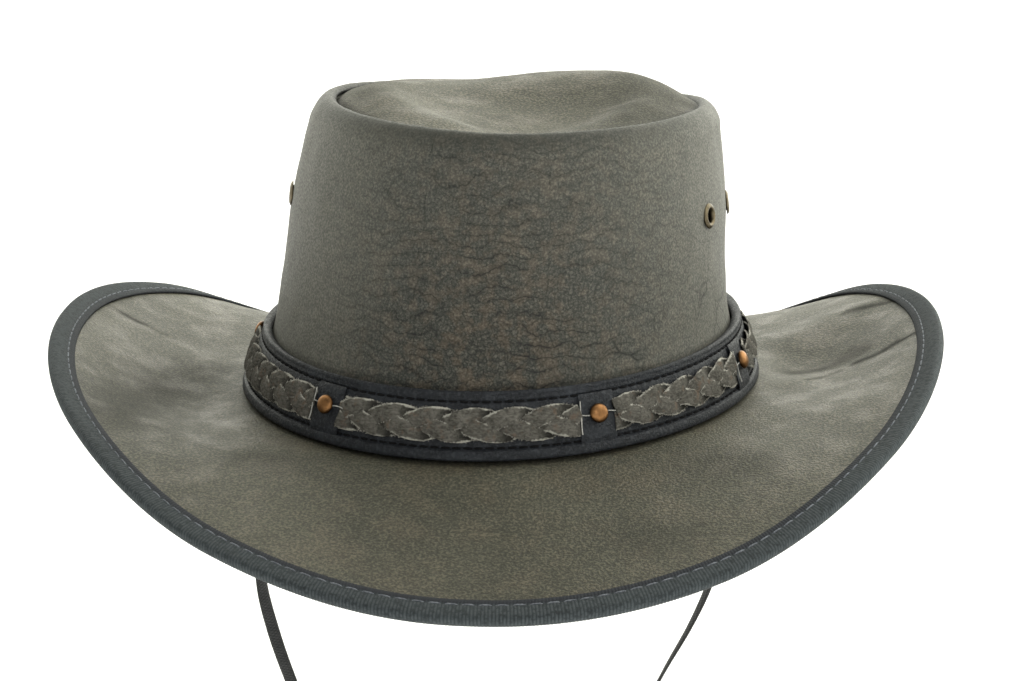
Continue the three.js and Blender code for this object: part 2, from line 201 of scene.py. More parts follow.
def softBox(name, place, aim, wide, high, power):
    light = added(name, bpy.data.lights.new(name, "AREA"))
    light.data.shape = "RECTANGLE"
    light.data.size, light.data.size_y = wide, high
    light.data.energy = power
    turn = (Vector(place) - Vector(aim)).to_track_quat("Z", "Y").to_matrix().to_4x4()
    light.matrix_world = Matrix.Translation(place) @ turn


makeCamera()
bpy.context.scene.view_settings.view_transform = "Standard"
makeRoom()
softBox("overhead", (0.85, 0.1, 1.5), (0, 0, 0), 1.8, 1.2, 5)
softBox("front", (0.5, -1.9, 0.9), (0, 0, 0.05), 0.8, 0.6, 7)
print("camera and lights made")


# materials

def newGroup(name, gives, **inputs):  # a group that gives one number; None stands for a vector
    group = bpy.data.node_groups.new(name, "ShaderNodeTree")
    for key, value in inputs.items():
        kind = "NodeSocketVector" if value is None else "NodeSocketFloat"
        socket = group.interface.new_socket(key, in_out="INPUT", socket_type=kind)
        if value is not None:
            socket.default_value = value
    group.interface.new_socket(gives, in_out="OUTPUT", socket_type="NodeSocketFloat")
    return group, group.nodes.new("NodeGroupInput").outputs, group.nodes.new("NodeGroupOutput").inputs[0]


def patchesGroup():  # a mask of noise cut between two levels
    group, use, give = newGroup("patches", "Mask", Vector=None, Scale=20.0, Detail=4.0, Low=0.4, High=0.6)
    cloud = noiseNode(group, use["Vector"], use["Scale"], use["Detail"], 0.6)
    mask = rangeNode(group, cloud[0], use["Low"], use["High"], interpolation_type="SMOOTHSTEP")
    group.links.new(mask, give)
    return group


def crackleGroup():  # crazed hide: the edges of warped cells, broken up
    group, use, give = newGroup("crackle", "Crease", Vector=None, Scale=400.0, Warp=0.002, Wide=0.1,
                                Keep=0.5)
    bend = noiseNode(group, use["Vector"], times(group, use["Scale"], 0.7), 2.0)
    push = nodeIn(group, "ShaderNodeVectorMath", {0: bend[1], "Scale": use["Warp"]}, operation="SCALE")
    moved = nodeIn(group, "ShaderNodeVectorMath", {0: use["Vector"], 1: push.outputs[0]}, operation="ADD")
    cells = nodeIn(group, "ShaderNodeTexVoronoi", {"Vector": moved.outputs[0], "Scale": use["Scale"]},
                   feature="DISTANCE_TO_EDGE").outputs["Distance"]
    broken = noiseNode(group, use["Vector"], times(group, use["Scale"], 0.35), 1.0)
    last = mathNode(group, "ADD", use["Keep"], 0.12)
    kept = rangeNode(group, broken[0], use["Keep"], last, 1.0, 0.0)
    line = rangeNode(group, cells, 0.0, use["Wide"], 1.0, 0.0)
    group.links.new(times(group, line, kept), give)
    return group


def creasesGroup():  # long creases that run across, wandering and broken, thin with a soft shade round them
    group, use, give = newGroup("creases", "Crease", Vector=None, Up=0.0, Scale=250.0, Wander=4.0, Thin=0.1,
                                Keep=0.5)
    sway = noiseNode(group, use["Vector"], times(group, use["Scale"], 0.2), 5.0, 0.55)
    level = times(group, use["Up"], use["Scale"])
    level = mathNode(group, "ADD", level, times(group, sway[0], use["Wander"]))
    middle = mathNode(group, "SUBTRACT", mathNode(group, "FRACT", level), 0.5)
    far = times(group, mathNode(group, "ABSOLUTE", middle), 2.0)
    line = rangeNode(group, far, 0.0, use["Thin"], 1.0, 0.0)
    line = mathNode(group, "MAXIMUM", line, rangeNode(group, far, 0.0, 0.7, 0.5, 0.0))
    broken = noiseNode(group, use["Vector"], times(group, use["Scale"], 0.25), 1.0)
    first, last = (mathNode(group, side, use["Keep"], 0.08) for side in ("SUBTRACT", "ADD"))
    kept = rangeNode(group, broken[0], first, last)
    group.links.new(times(group, line, kept), give)
    return group


def wornEdgeGroup():  # how near the piece's own edge a place is, roughened by noise
    group, use, give = newGroup("wornEdge", "Mask", Edge=0.0, Vector=None, Scale=900.0, From=0.75)
    cloud = noiseNode(group, use["Vector"], use["Scale"], 2.0)
    sway = times(group, mathNode(group, "SUBTRACT", cloud[0], 0.5), 0.5)
    near = mathNode(group, "ADD", use["Edge"], sway)
    group.links.new(rangeNode(group, near, use["From"], 1.0), give)
    return group


def clothGroup():  # crossing threads from a UV map in metres
    group, use, give = newGroup("cloth", "Height", UV=None, Threads=1400.0)
    split = nodeIn(group, "ShaderNodeSeparateXYZ", {0: use["UV"]})
    waves = []
    for axis in ("X", "Y"):
        turn = times(group, split.outputs[axis], use["Threads"])
        waves.append(mathNode(group, "SINE", times(group, turn, fullTurn)))
    group.links.new(rangeNode(group, times(group, *waves), -1.0, 1.0), give)
    return group


patches, crackle, creases = patchesGroup(), crackleGroup(), creasesGroup()
wornEdge, cloth = wornEdgeGroup(), clothGroup()


class Finish:  # a material with its shader, and short ways to feed it
    def __init__(self, name, **sockets):
        self.material = bpy.data.materials.new(name)
        self.material.use_nodes = True
        self.tree = self.material.node_tree
        self.shader = self.tree.nodes["Principled BSDF"]
        for key, value in sockets.items():
            self.shader.inputs[key.replace("_", " ")].default_value = value
        self.spot = self.node("ShaderNodeTexCoord").outputs["Object"]

    def node(self, kind, inputs=None, **settings):
        return nodeIn(self.tree, kind, inputs, **settings)

    def group(self, group, **inputs):
        return self.node("ShaderNodeGroup", inputs, node_tree=group).outputs

    def mask(self, scale, detail, low, high, source=None):
        inputs = dict(Scale=scale, Detail=detail, Low=low, High=high)
        return self.group(patches, Vector=source or self.spot, **inputs)["Mask"]

    def sum(self, operation, a, b=0.0):
        return mathNode(self.tree, operation, a, b)

    def times(self, a, b):
        return times(self.tree, a, b)

    def mix(self, share, a, b, most=1.0):  # b over a, at most so much of it; colours come without alpha
        if most != 1.0:
            share = self.times(share, most)
        a, b = (part + (1,) if isinstance(part, tuple) else part for part in (a, b))
        return self.node("ShaderNodeMix", {0: share, 6: a, 7: b}, data_type="RGBA").outputs[2]

    def stretched(self, x, y, z, source=None):
        scale = {"Vector": source or self.spot, "Scale": (x, y, z)}
        return self.node("ShaderNodeMapping", scale).outputs[0]

    def uv(self):
        return self.node("ShaderNodeUVMap", uv_map="UVMap").outputs[0]

    def attribute(self, name):
        return self.node("ShaderNodeAttribute", attribute_name=name).outputs["Fac"]

    def feed(self, key, value):
        self.tree.links.new(value, self.shader.inputs[key])

    def bump(self, height, deep):
        inputs = {"Height": height, "Strength": 1.0, "Distance": deep}
        self.feed("Normal", self.node("ShaderNodeBump", inputs).outputs[0])


def crownLeatherFinish():
    f = Finish("crown_leather", Specular_IOR_Level=0.15)
    up = f.node("ShaderNodeSeparateXYZ", {0: f.uv()}).outputs
    creasesAndSheen, speck = f.attribute("creasesAndSheen"), f.mask(1300.0, 2.0, 0.3, 0.7)
    fine = f.group(crackle, Vector=f.spot, Scale=600.0, Warp=0.0018, Wide=0.13, Keep=0.54)["Crease"]
    along = dict(Vector=f.spot, Up=up["Y"])
    long = f.group(creases, **along, Scale=220.0, Wander=5.0, Thin=0.24, Keep=0.42)["Crease"]
    short = f.group(creases, **along, Scale=400.0, Wander=7.0, Thin=0.27, Keep=0.44)["Crease"]
    big = f.group(crackle, Vector=f.spot, Scale=62.0, Warp=0.016, Wide=0.04, Keep=0.58)["Crease"]
    base = f.mix(f.mask(24.0, 3.0, 0.36, 0.66), (0.054, 0.057, 0.051), (0.080, 0.079, 0.066))
    brown = f.times(f.mask(210.0, 2.0, 0.42, 0.62), creasesAndSheen)
    base = f.mix(brown, base, (0.132, 0.100, 0.070), 0.7)
    # painted sheen: pale where creasesAndSheen is low, on the sides of the crown and higher up
    base = f.mix(f.sum("SUBTRACT", 1.0, creasesAndSheen), base, (0.21, 0.21, 0.182), 0.8)
    base = f.mix(f.sum("SUBTRACT", 1.0, speck), base, (0.026, 0.029, 0.029), 0.4)
    base = f.mix(f.sum("POWER", speck, 3.0), base, (0.27, 0.25, 0.205), 0.32)
    lines = f.sum("MAXIMUM", long, f.times(f.sum("MAXIMUM", short, fine), 0.7))
    vein = f.times(f.attribute("vein"), big)
    lines = f.sum("MAXIMUM", f.times(lines, creasesAndSheen), vein)
    base = f.mix(lines, base, (0.006, 0.008, 0.009), 0.92)
    # two faint upright lines, painted shade on the fold of the rim, and painted shade in the groove along
    # the seam
    sway = f.sum("ADD", up["X"], f.times(f.mask(60.0, 4.0, 0.2, 0.8), 0.003))
    left, right = (f.sum("ABSOLUTE", f.sum("ADD", sway, off)) for off in (0.0288, -0.0250))
    upright = rangeNode(f.tree, f.sum("MINIMUM", left, right), 0.0, 0.0005, 1.0, 0.0)
    upright = f.times(upright, f.mask(150.0, 2.0, 0.4, 0.6))
    base = f.mix(upright, base, (0.012, 0.013, 0.013), 0.5)
    base = f.mix(f.attribute("fold"), base, (0.050, 0.052, 0.045), 0.6)
    f.feed("Base Color", f.mix(f.attribute("seam"), base, (0.006, 0.006, 0.006), 0.9))
    f.feed("Roughness", rangeNode(f.tree, speck, 0.0, 1.0, 0.6, 0.44))
    f.bump(f.sum("SUBTRACT", speck, lines), 0.00005)
    return f.material


def softLeatherFinish(name, light, shine):
    f = Finish(name, Specular_IOR_Level=shine)
    # light scales every shade: the brim's copy is darker than the tip's, painted shade and light on one
    # leather
    shades = [tuple(part * light for part in shade) for shade in (
        (0.086, 0.085, 0.061), (0.130, 0.127, 0.093), (0.165, 0.132, 0.086), (0.32, 0.29, 0.21),
        (0.034, 0.036, 0.032))]
    small, speck = f.mask(75.0, 3.0, 0.42, 0.7), f.mask(1150.0, 3.0, 0.32, 0.68)
    base = f.mix(f.mask(17.0, 3.0, 0.36, 0.66), shades[0], shades[1])
    base = f.mix(small, base, shades[2], 0.4)
    base = f.mix(f.sum("SUBTRACT", 1.0, speck), base, shades[4], 0.55)
    base = f.mix(f.sum("POWER", speck, 3.0), base, shades[3], 0.35)
    # streak darkens: real streaks and painted shade on the brim, painted shade on the tip's sides
    streak = f.attribute("streak")
    base = f.mix(streak, base, (0.018, 0.018, 0.016))
    # painted shade in the groove along the seam
    f.feed("Base Color", f.mix(f.attribute("seam"), base, (0.006, 0.006, 0.006), 0.9))
    rough = rangeNode(f.tree, small, 0.0, 1.0, 0.56, 0.42)
    f.feed("Roughness", f.sum("ADD", rough, f.times(streak, 0.4)))
    f.bump(speck, 0.00016)
    return f.material


def bindingFinish():
    f = Finish("binding_tape", Roughness=0.74)
    weave = f.group(cloth, UV=f.uv(), Threads=2400.0)["Height"]
    base = f.mix(f.mask(26.0, 4.0, 0.35, 0.7), (0.007, 0.013, 0.0175), (0.014, 0.022, 0.026))
    # painted highlight on the rib tops, broken up by noise
    paleMark = f.times(f.attribute("rib"), f.mask(700.0, 2.0, 0.3, 0.6))
    base = f.mix(paleMark, base, (0.105, 0.126, 0.137), 0.5)
    base = f.mix(weave, base, (0.06, 0.07, 0.073), 0.2)
    # painted shade on the strip between the stitches and the inner edge
    f.feed("Base Color", f.mix(f.attribute("edge"), base, (0.009, 0.011, 0.019), 0.9))
    f.bump(weave, 0.0001)
    return f.material


def bandLeatherFinish():
    f = Finish("band_leather", Specular_IOR_Level=0.3)
    fine = f.group(crackle, Vector=f.spot, Scale=800.0, Warp=0.0015, Wide=0.15, Keep=0.5)["Crease"]
    speck = f.mask(900.0, 2.0, 0.35, 0.7)
    base = f.mix(f.mask(60.0, 3.0, 0.5, 0.8), (0.014, 0.0165, 0.0215), (0.032, 0.037, 0.046))
    base = f.mix(f.sum("POWER", speck, 2.0), base, (0.050, 0.056, 0.066), 0.5)
    f.feed("Base Color", f.mix(fine, base, (0.004, 0.004, 0.005), 0.5))
    f.feed("Roughness", rangeNode(f.tree, speck, 0.0, 1.0, 0.62, 0.46))
    f.bump(f.sum("SUBTRACT", speck, fine), 0.0001)
    return f.material


def suedeFinish():
    f = Finish("braid_suede", Roughness=0.95, Specular_IOR_Level=0.1)
    nap = f.mask(1.0, 3.0, 0.3, 0.7, f.stretched(700, 700, 1700))
    rim = f.group(wornEdge, Edge=f.attribute("edge"), Vector=f.spot, Scale=1500.0, From=0.8)["Mask"]
    base = f.mix(f.mask(190.0, 4.0, 0.35, 0.7), (0.060, 0.057, 0.049), (0.115, 0.109, 0.096))
    base = f.mix(nap, base, (0.23, 0.22, 0.195), 0.45)
    base = f.mix(f.mask(900.0, 2.0, 0.48, 0.7), base, (0.035, 0.035, 0.032), 0.6)
    base = f.mix(f.mask(300.0, 3.0, 0.56, 0.7), base, (0.16, 0.11, 0.08), 0.5)
    # painted shade where the strand dives under its neighbour
    base = f.mix(f.attribute("under"), base, (0.012, 0.012, 0.011), 0.8)
    f.feed("Base Color", f.mix(rim, base, (0.46, 0.45, 0.40)))
    f.bump(nap, 0.00014)
    return f.material


def metalFinish(name, colour, dull, rough, grime):
    f = Finish(name, Metallic=1.0)
    spots = f.mask(1700.0, 4.0, 0.5, 0.8)
    base = f.mix(f.mask(420.0, 4.0, 0.4, 0.75), colour, dull, grime)
    # darker at the edge mask: the rivet's rim, and painted shade down the eyelet's bore
    dark = tuple(part * 0.25 for part in dull)
    f.feed("Base Color", f.mix(f.attribute("edge"), base, dark, 0.9))
    f.feed("Roughness", rangeNode(f.tree, spots, 0.0, 1.0, rough, rough + 0.2))
    f.bump(spots, 0.00004)
    return f.material


def threadFinish(name, dark, light, twist=900.0, rough=0.7):
    f = Finish(name, Roughness=rough, Specular_IOR_Level=0.3)
    cloud = f.mask(twist, 4.0, 0.3, 0.7)
    f.feed("Base Color", f.mix(cloud, dark, light))
    f.bump(cloud, 0.00008)
    return f.material


def laceFinish():
    f = Finish("strap_lace", Roughness=0.85, Sheen_Weight=0.2, Sheen_Roughness=0.5)
    weave = f.group(cloth, UV=f.uv(), Threads=900.0)["Height"]
    base = f.mix(f.mask(220.0, 4.0, 0.3, 0.75), (0.012, 0.013, 0.014), (0.032, 0.033, 0.035))
    f.feed("Base Color", f.mix(weave, base, (0.06, 0.062, 0.065), 0.4))
    f.bump(weave, 0.00025)
    return f.material


crownLeather, brimLeather = crownLeatherFinish(), softLeatherFinish("brim_leather", 0.85, 0.3)
bindingTape, bandLeather, suede, lace = bindingFinish(), bandLeatherFinish(), suedeFinish(), laceFinish()
copper = metalFinish("rivet_copper", (0.34, 0.172, 0.070), (0.16, 0.080, 0.038), 0.4, 0.7)
brass = metalFinish("eyelet_brass", (0.17, 0.14, 0.09), (0.035, 0.03, 0.022), 0.38, 0.8)
bindingThread = threadFinish("binding_thread", (0.10, 0.11, 0.13), (0.24, 0.26, 0.29))
bandThread = threadFinish("band_thread", (0.0015, 0.0015, 0.002), (0.005, 0.005, 0.006), 900.0, 0.95)
paleThread = threadFinish("pale_thread", (0.33, 0.33, 0.31), (0.62, 0.61, 0.58), 1500.0)
fibre = threadFinish("braid_fibre", (0.16, 0.15, 0.13), (0.55, 0.53, 0.48), 900.0)
print("materials made")


# making pieces

def place(bm, spots):  # every vertex goes to its spot, in mm
    for vert, spot in zip(bm.verts, spots * mm):
        vert.co = spot


def spots(bm):
    return np.array([v.co[:] for v in bm.verts])


def line(bm, corners, cuts, closed):  # a section of straight stretches, each cut finer
    verts = [bm.verts.new(c) for c in corners]
    ends = verts[1:] + verts[:1] if closed else verts[1:]
    edges = [bm.edges.new(pair) for pair in zip(verts, ends)]
    for edge, count in zip(edges, cuts):
        if count:
            bmesh.ops.subdivide_edges(bm, edges=[edge], cuts=count)


def spin(bm, angle, steps, **more):
    bmesh.ops.spin(bm, geom=bm.verts[:] + bm.edges[:] + bm.faces[:], axis=(0, 0, 1), cent=(0, 0, 0),
                   angle=angle, steps=steps, **more)


def spun(section, cuts, steps, closed=True, start=1.0, parts=16):
    # A section of (a, b) places is spun through one part of the round, and the part is copied round.
    # The ring's angle and a, b are then read back from each vertex.
    bm = bmesh.new()
    line(bm, [(start + a, 0, b) for a, b in section], cuts, closed)
    part = fullTurn / parts
    spin(bm, part, steps // parts)
    spin(bm, part * (parts - 1), parts - 1, use_duplicate=True)
    bmesh.ops.remove_doubles(bm, verts=bm.verts, dist=start * 2e-5 + 1e-5)
    at = spots(bm)
    angle = np.degrees(np.arctan2(at[:, 0], -at[:, 1]))
    return bm, angle, np.hypot(at[:, 0], at[:, 1]) - start, at[:, 2]


def lathe(section, cuts, closed, steps):  # a section of (radius, height) places turned all the way round
    bm = bmesh.new()
    line(bm, [(r, 0, h) for r, h in section], cuts, closed)
    spin(bm, fullTurn, steps, use_merge=True)
    return bm


def fillHoles(bm):
    bmesh.ops.holes_fill(bm, edges=[e for e in bm.edges if e.is_boundary], sides=0)


def meshOf(name, bm):
    mesh = bpy.data.meshes.new(name)
    bm.to_mesh(mesh)
    bm.free()
    return mesh


def newPiece(name, bm, material, uv=None, **masks):
    bmesh.ops.recalc_face_normals(bm, faces=bm.faces)
    mesh = meshOf(name, bm)
    mesh.polygons.foreach_set("use_smooth", np.ones(len(mesh.polygons), bool))
    if uv is not None:
        corner = np.empty(len(mesh.loops), int)
        mesh.loops.foreach_get("vertex_index", corner)
        first = np.empty(len(mesh.polygons), int)
        total = np.empty(len(mesh.polygons), int)
        mesh.polygons.foreach_get("loop_start", first)
        mesh.polygons.foreach_get("loop_total", total)
        flat = uv[corner].astype(float)
        turn = uv.turn if hasattr(uv, "turn") else 0
        if turn:  # faces across the seam take the far side's place
            face = np.repeat(np.arange(len(first)), total)
            top = np.full(len(first), -1e9)
            np.maximum.at(top, face, flat[:, 0])
            flat[:, 0] += turn * (top[face] - flat[:, 0] > turn / 2)
        mesh.uv_layers.new(name="UVMap").data.foreach_set("uv", flat.ravel())
    for key, values in masks.items():
        mesh.attributes.new(key, "FLOAT", "POINT").data.foreach_set("value", np.asarray(values, np.float32))
    piece = added(name, mesh)
    mesh.materials.append(material)
    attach(piece, "root")
    return piece


class TurnUv(np.ndarray):  # UV places whose first column is an arc that closes after `turn` metres
    turn = 0


def arcUv(angle, radius, across):
    uv = columns(np.radians(angle) * radius * mm, across * mm).view(TurnUv)
    uv.turn = fullTurn * radius * mm
    return uv


def threads(name, paths, radius, material, caps=True, sides=1):  # many short threads in one mesh
    curve = bpy.data.curves.new(name, "CURVE")
    curve.dimensions = "3D"
    curve.bevel_depth = radius * mm
    curve.bevel_resolution = sides
    curve.use_fill_caps = caps
    for path in paths:
        spline = curve.splines.new("POLY")
        spline.points.add(len(path) - 1)
        spline.points.foreach_set("co", np.c_[np.array(path) * mm, np.ones(len(path))].ravel())
    shape = bpy.data.objects.new(name, curve)
    mesh = bpy.data.meshes.new_from_object(shape)
    bpy.data.objects.remove(shape)
    bpy.data.curves.remove(curve)
    mesh.materials.append(material)
    piece = added(name, mesh)
    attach(piece, "root")
    return piece


def evenAngles(pointAt, pitch):  # angles that lie an even distance apart along a closed line
    angle = np.linspace(-180, 180, 3601)
    steps = np.linalg.norm(np.diff(pointAt(angle), axis=0), axis=1)
    run = running(steps)
    count = round(run[-1] / pitch)
    return np.interp(np.arange(count) * run[-1] / count, run, angle), run[-1] / count, (run, angle)


# chin strap, a flat lace that turns as it hangs

strap = table(
    wide=4.6, thick=1.2,
    route=[(-80.2, 1.7), (-82, -22), (-86, -48), (-88.6, -68), (-88, -81), (-84.4, -97), (-79.4, -113),
           (-68, -143), (-54, -178), (-39, -212), (-24, -239), (-8, -250), (8, -238), (20, -208),
           (32, -174), (45, -140), (59.4, -110), (68.5, -93), (75, -78), (79.5, -62), (81.5, -38),
           (81, -16), (80.2, 1.7)],
    turns=[(0, 0), (0.1, 20), (0.16, 60), (0.22, 95), (0.3, 40), (0.5, 10), (0.7, -30), (0.8, 5), (0.88, 30),
           (1, 0)],
    rows=420, around=14, squarish=0.75,
)


def makeStrap():
    route = np.array([(x, 0, z) for x, z in strap.route], float)
    run = running(np.linalg.norm(np.diff(route, axis=0), axis=1) ** 0.5)
    curves = [tableCurve(run, route[:, k]) for k in (0, 2)]
    t = np.linspace(0, run[-1], 2400)
    fine = columns(curves[0](t), 0 * t, curves[1](t))
    along = running(np.linalg.norm(np.diff(fine, axis=0), axis=1))
    length = along[-1]
    rows, around = strap.rows, strap.around
    share = np.linspace(0, 1, rows + 1)
    middle = np.stack([np.interp(share * length, along, fine[:, k]) for k in range(3)], axis=-1)
    ahead = np.gradient(middle, axis=0)
    ahead /= np.linalg.norm(ahead, axis=1)[:, None]
    turn = np.radians(tableCurve(*zip(*strap.turns))(share))
    side = np.array([0, 1.0, 0])
    level = np.cross(ahead, side)
    wide = side * np.cos(turn)[:, None] + level * np.sin(turn)[:, None]
    thick = np.cross(ahead, wide)
    bm = bmesh.new()
    bmesh.ops.create_grid(bm, x_segments=rows, y_segments=around, size=0.5)
    at = spots(bm)
    row = np.rint((at[:, 0] + 0.5) * rows).astype(int)
    phase = (at[:, 1] + 0.5) * fullTurn
    across = np.sign(np.cos(phase)) * np.abs(np.cos(phase)) ** strap.squarish * strap.wide / 2
    over = np.sin(phase) * strap.thick / 2
    place(bm, middle[row] + wide[row] * across[:, None] + thick[row] * over[:, None])
    uv = columns(share[row] * length, phase / fullTurn * 9) * mm
    fillHoles(bm)
    piece = newPiece("chin_strap_lace", bm, lace, uv)
    weld = bmesh.new()
    weld.from_mesh(piece.data)
    bmesh.ops.remove_doubles(weld, verts=weld.verts, dist=1e-6)
    fillHoles(weld)
    bmesh.ops.recalc_face_normals(weld, faces=weld.faces)
    weld.to_mesh(piece.data)
    weld.free()
    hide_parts("chin_strap")


makeStrap()
print("chin strap made")


# crown wall with its rolled rim

shell = [(0, 0), (0, 1), (1, 1), (1, 0)]  # through the leather and along it, for the crown and the brim
crown = table(
    up=[0, .07, .2, .4, .64, .89, .945, .985, 1.0, .985],
    taper=[0, .12, .4, .6, .73, 1, 1, 1, 1, 1],
    fold=[0, 0, 0, 0, 0, 0, .12, .42, .74, 1],
    rim=[1.008, 1.004, .982, .925, .9, .955, 1.014, 1.02],
    steps=400, rows=100, wallLong=109, dents=0.45, creases=0.25, crisp=0.9, pucker=0.35,
)
eyelets = table(
    at=dict(right_front=(68, .652), right_rear=(93, .622), left_front=(-81, .676), left_rear=(-107, .67)),
    hole=2.4, barrel=2.9, flange=5, steps=40,
)
rimHeight = roundCurve([hat.crownHeight * up for up in crown.rim])
inset = np.array(crown.taper) * hat.crownTaper + np.array(crown.fold) * hat.rimFold
knots = running(np.hypot(np.diff(inset), np.diff(crown.up) * hat.crownHeight))
knots /= knots[-1]
insetAt, upAt = tableCurve(knots, inset), tableCurve(knots, crown.up)


def crownLine(angle, t):  # outside of the wall: out from the seam's outline, and height
    foot = seamHeight(angle) + hat.gap
    return -insetAt(t), foot + upAt(t) * (rimHeight(angle) - foot)


def crownSkin(angle, t, off):  # a place off the outside of the wall
    step = 0.004
    low, high = unit(t - step), unit(t + step)
    (outA, upA), (outB, upB) = crownLine(angle, low), crownLine(angle, high)
    length = np.hypot(outB - outA, upB - upA)
    out, up = crownLine(angle, t)
    return crownPoint(angle, out + off * (upB - upA) / length, up - off * (outB - outA) / length)


def eyeletSpot(row):  # middle on the outside of the wall, and the way out of it
    angle, up = np.array([row[0]]), row[1] * hat.crownHeight
    t = np.linspace(0, knots[5], 800)
    here = t[np.argmin(np.abs(crownLine(angle, t)[1] - up))]
    middle = crownSkin(angle, np.array([here]), 0)[0]
    out = crownSkin(angle, np.array([here]), 1)[0] - middle
    return Vector(middle), Vector(out).normalized()


def pierce(piece):  # opens the wall at each eyelet, under its flange
    bm = bmesh.new()
    bm.from_mesh(piece.data)
    frames = [eyeletSpot(row) for row in eyelets.at.values()]
    for middle, out in frames:
        near = [f for f in bm.faces if (f.calc_center_median() / mm - middle).length < 6]
        off = [f.calc_center_median() / mm - middle for f in near]
        inside = [f for f, d in zip(near, off) if (d - out * d.dot(out)).length < eyelets.barrel + 0.9]
        bmesh.ops.delete(bm, geom=inside, context="FACES")
    loose = [e for e in bm.edges if e.is_boundary]
    for middle, out in frames:
        bmesh.ops.bridge_loops(bm, edges=[e for e in loose if (e.verts[0].co / mm - middle).length < 9])
    bm.to_mesh(piece.data)
    bm.free()


def makeCrownSide():
    rows = crown.rows
    bm, angle, through, t = spun(shell, [rows - 1, 1, rows - 1, 1], crown.steps)
    base = crownSkin(angle, t, 0)
    calm = unit(t / 0.1) * unit((1 - t) / 0.08)
    off = crown.dents * ripple(base, 34, 1) + crown.creases * ripple(base, 9, 2)
    off = off * (0.4 + 0.6 * calm)
    low = unit(1.3 - 1.7 * t)
    middle = np.abs(cosine(angle)) ** (3.2 - 1.2 * sine(angle))
    # painted shade on the rim's fold, strongest at the front and on the left
    foldShade = 0.7 + 0.3 * cosine(angle) - 0.2 * sine(angle)
    masks = dict(
        vein=unit(sine(angle - 5) * 2.4) * unit(cosine(angle) * 2 + 0.35) * low,
        # high where the crease lines go; low on the sides and higher up, where the painted sheen goes
        creasesAndSheen=(0.15 + 0.85 * middle) * unit(1.2 - 0.6 * t),
        # seam is painted shade in the groove along the seam
        seam=hump(1 - t, 0.018), fold=unit((t - 0.89) / 0.06) * foldShade,
    )
    # the fold is tighter at the front, where its edge looks crisp
    off += crown.crisp * hump(t - 0.955, 0.03) * unit(cosine(angle))
    wrinkle = np.abs(ripple(columns(angle * 0.55, t * 3, 0 * t), 1.0, 3))
    off -= crown.pucker * hump(t - 0.985, 0.03) * wrinkle
    bottom = seamHeight(angle) + hat.gap
    at = crownSkin(angle, t, off - hat.leather * through)
    at[:, 2] = np.maximum(at[:, 2], np.where(t < 0.02, bottom, -99))
    place(bm, at)
    uv = arcUv(angle, (wideHalf + longHalf) / 2, t * crown.wallLong)
    piece = newPiece("crown_side_leather", bm, crownLeather, uv, **masks)
    pierce(piece)
    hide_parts("crown_side")


makeCrownSide()
print("crown side made")


# crown tip, the soft panel inside the rim

tip = table(
    swell=10, middle=0.965, steps=320, rows=64, creases=0.3,
    x=[.24, -.75, .82, .12, .62, .1], y=[.34, .2, .3, -.6, .25, -.1], wide=[.62, .34, .3, .42, .3, .34],
    long=[.42, .6, .45, .34, .3, .3], up=[.87, .5, .38, -.5, .2, -.3],
    pillow=4.4, pillowAt=.75, pillowWide=.16, valley=3, valleyWide=14,
    tuck=0.8, drop=2.1, dropRight=0.2, dents=0.5, pucker=0.7,
)


def tipHeight(angle, share):
    seam = crownLine(angle, np.ones_like(angle))[1]
    x, y = share * sine(angle), -share * cosine(angle)
    swell = sum(up * np.exp(-((x - px) / wide) ** 2 - ((y - py) / long) ** 2)
                for px, py, wide, long, up in zip(tip.x, tip.y, tip.wide, tip.long, tip.up))
    flat = share ** 2 * seam + (1 - share ** 2) * tip.middle * hat.crownHeight
    # inside the front seam the panel swells, with a valley in the middle
    parted = 1 - 0.95 * hump(angle - tip.valley, tip.valleyWide)
    front = unit(1.3 * cosine(angle) + 0.45) * parted
    pillow = tip.pillow * front * hump(share - tip.pillowAt, tip.pillowWide)
    return flat + (tip.swell * swell + pillow) * (1 - share ** 6)


def makeCrownTip():
    bm, angle, share, through = spun([(0, 0), (1, 0), (1, 1), (0, 1)], [tip.rows - 1, 1, tip.rows - 1],
                                     tip.steps, closed=False, start=0)
    share = unit(share)
    rim = -insetAt(np.array([1.0]))[0] + tip.tuck
    height = tipHeight(angle, share)
    lean = share * leanAt(tipHeight(angle, np.ones_like(angle))) + (1 - share) * hat.crownLean
    at = columns(lean + (wideHalf + rim) * share * sine(angle),
                 -(longHalf + rim) * share * cosine(angle), height)
    calm = unit((1 - share) / 0.12)
    off = tip.creases * ripple(at, 12, 5) + tip.dents * ripple(at, 30, 6)
    front = unit(cosine(angle))
    pucker = hump(share - 0.93, 0.06) * (0.35 + 0.65 * front)
    wrinkle = np.abs(ripple(columns(angle * 0.3, share * 3, 0 * share), 1.0, 7))
    off = off * calm - tip.pucker * pucker * wrinkle
    right = unit(sine(angle) * 1.6 - 0.4)
    drop = tip.drop + (tip.dropRight - tip.drop) * right
    at[:, 2] += off - drop * hump(1 - share, 0.035) - hat.leather * through
    place(bm, at)
    # painted shade towards the tip's sides, more on the left, carried as streak
    sides = unit(np.abs(share * sine(angle) + 0.12) / 0.35 - 1)
    shade = 0.36 * sides * unit(cosine(angle) + 1)
    # painted shade in the groove along the seam, wider at the front
    seam = hump(1 - share, 0.03 + 0.04 * front)
    piece = newPiece("crown_tip_leather", bm, tipLeather, streak=shade, seam=seam)
    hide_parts("crown_tip")


tipLeather = softLeatherFinish("tip_leather", 1.0, 0.2)
makeCrownTip()
print("crown tip made")


# brim

